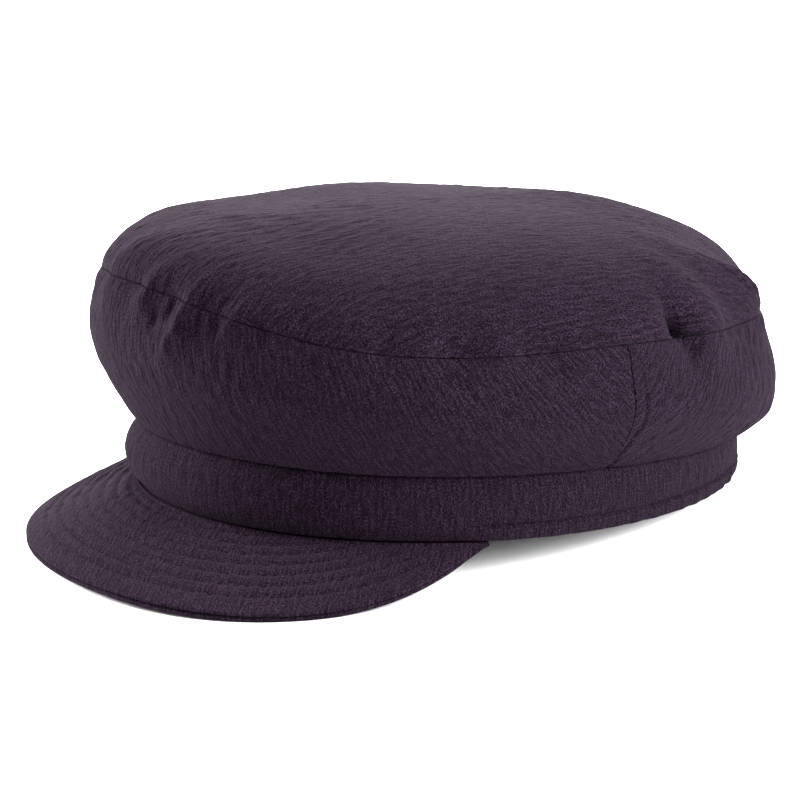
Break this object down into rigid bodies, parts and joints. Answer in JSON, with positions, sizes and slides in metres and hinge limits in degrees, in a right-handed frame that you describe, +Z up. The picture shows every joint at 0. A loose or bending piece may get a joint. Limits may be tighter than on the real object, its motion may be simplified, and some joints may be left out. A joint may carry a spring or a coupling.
{
  "type": "breton fisherman cap",
  "caption": "Soft fisherman's cap of dark crinkled crepe cloth: full round-edged crown, plain band and a short stitched peak that props up the front.",
  "frame": {"origin": "on the table, under the middle of the cap's box", "axes": "+Z up from the table, +Y from the peak towards the back of the head, +X towards the wearer's left"},
  "size_m": [0.1904, 0.2558, 0.0985],
  "materials": {
    "crown_cloth": "matt crinkled crepe, almost black with an aubergine tone",
    "band_cloth": "matt crinkled crepe, its crinkles upright",
    "peak_cloth": "matt crepe, flattened by rows of stitching"
  },
  "bodies": {
    "root": {"crown_top": "crown_cloth", "crown_side_front": "crown_cloth", "crown_side_back": "crown_cloth", "band": "band_cloth", "peak_upper": "peak_cloth", "peak_lower": "peak_cloth"}
  },
  "joints": []
}
